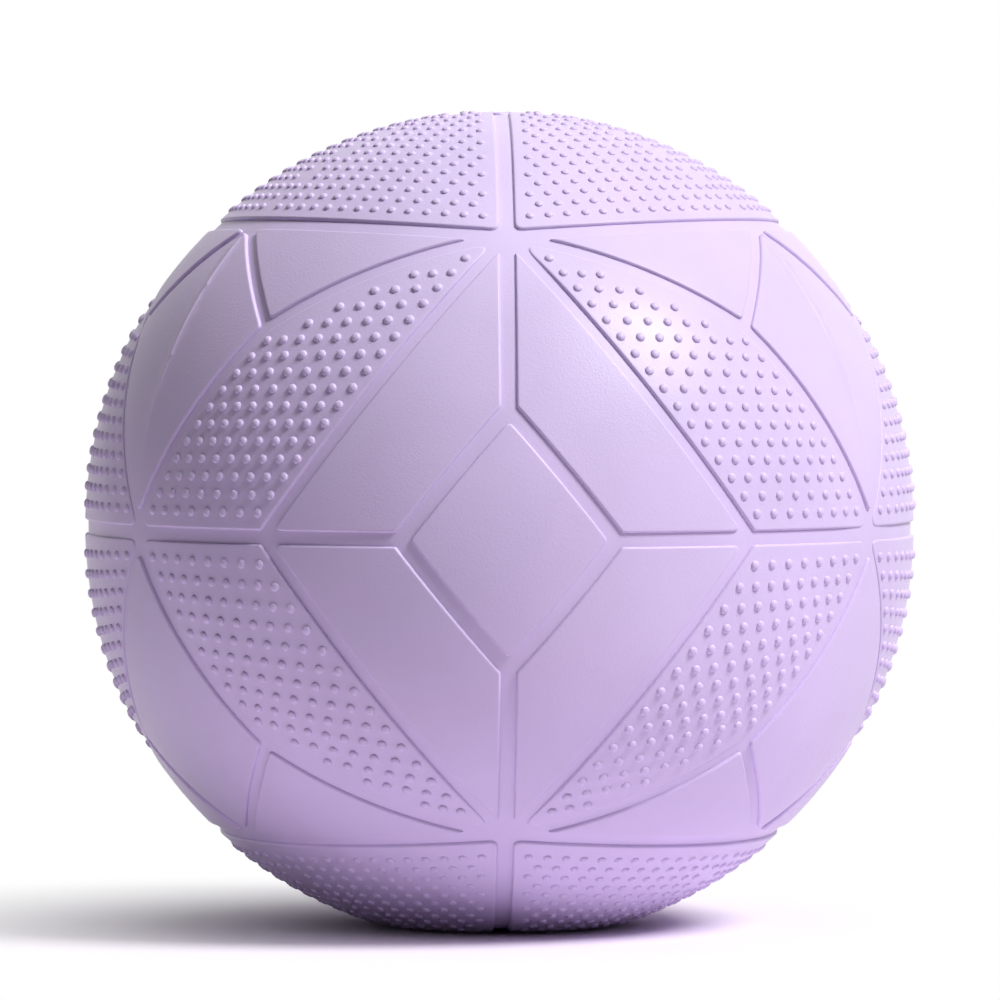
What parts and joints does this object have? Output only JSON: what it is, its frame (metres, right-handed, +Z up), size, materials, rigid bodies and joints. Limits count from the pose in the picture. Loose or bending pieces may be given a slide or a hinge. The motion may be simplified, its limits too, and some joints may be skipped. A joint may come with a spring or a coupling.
{
  "type": "pilates ball",
  "caption": "Soft inflatable pilates ball with raised smooth and nubbed panels between recessed channels, and a push-in valve plug at the back.",
  "frame": {"origin": "on the floor, under the middle of the ball, at the centre of its flattened resting patch", "axes": "+Z up, front face towards -Y, valve towards +Y"},
  "size_m": [0.2298, 0.2298, 0.226],
  "materials": {
    "panel_rubber": "satin",
    "carcass_rubber": "satin",
    "bladder_butyl": "matte",
    "valve_rubber": "matte",
    "plug_plastic": "satin"
  },
  "bodies": {
    "ball": {"bladder": "bladder_butyl", "carcass": "carcass_rubber", "front_diamond": "panel_rubber", "front_lower_left_kite": "panel_rubber", "front_lower_left_petal": "panel_rubber", "front_lower_left_wing": "panel_rubber", "front_lower_right_kite": "panel_rubber", "front_lower_right_petal": "panel_rubber", "front_lower_right_wing": "panel_rubber", "front_upper_left_kite": "panel_rubber", "front_upper_left_petal": "panel_rubber", "front_upper_left_wing": "panel_rubber", "front_upper_right_kite": "panel_rubber", "front_upper_right_petal": "panel_rubber", "front_upper_right_wing": "panel_rubber", "left_lower_cap": "panel_rubber", "left_lower_leaf": "panel_rubber", "left_upper_cap": "panel_rubber", "left_upper_leaf": "panel_rubber", "rear_left_diamond": "panel_rubber", "rear_left_lower_left_kite": "panel_rubber", "rear_left_lower_left_petal": "panel_rubber", "rear_left_lower_left_wing": "panel_rubber", "rear_left_lower_right_kite": "panel_rubber", "rear_left_lower_right_petal": "panel_rubber", "rear_left_lower_right_wing": "panel_rubber", "rear_left_upper_left_kite": "panel_rubber", "rear_left_upper_left_petal": "panel_rubber", "rear_left_upper_left_wing": "panel_rubber", "rear_left_upper_right_kite": "panel_rubber", "rear_left_upper_right_petal": "panel_rubber", "rear_left_upper_right_wing": "panel_rubber", "rear_lower_cap": "panel_rubber", "rear_lower_leaf": "panel_rubber", "rear_right_diamond": "panel_rubber", "rear_right_lower_left_kite": "panel_rubber", "rear_right_lower_left_petal": "panel_rubber", "rear_right_lower_left_wing": "panel_rubber", "rear_right_lower_right_kite": "panel_rubber", "rear_right_lower_right_petal": "panel_rubber", "rear_right_lower_right_wing": "panel_rubber", "rear_right_upper_left_kite": "panel_rubber", "rear_right_upper_left_petal": "panel_rubber", "rear_right_upper_left_wing": "panel_rubber", "rear_right_upper_right_kite": "panel_rubber", "rear_right_upper_right_petal": "panel_rubber", "rear_right_upper_right_wing": "panel_rubber", "rear_upper_cap": "panel_rubber", "rear_upper_leaf": "panel_rubber", "right_lower_cap": "panel_rubber", "right_lower_leaf": "panel_rubber", "right_upper_cap": "panel_rubber", "right_upper_leaf": "panel_rubber", "valve_body": "valve_rubber"},
    "plug": {"valve_plug": "plug_plastic"}
  },
  "joints": [
    {"name": "plug_pull", "type": "slide", "parent": "ball", "child": "plug", "axis": [0, 1, 0], "range_m": [0, 0.03]}
  ]
}
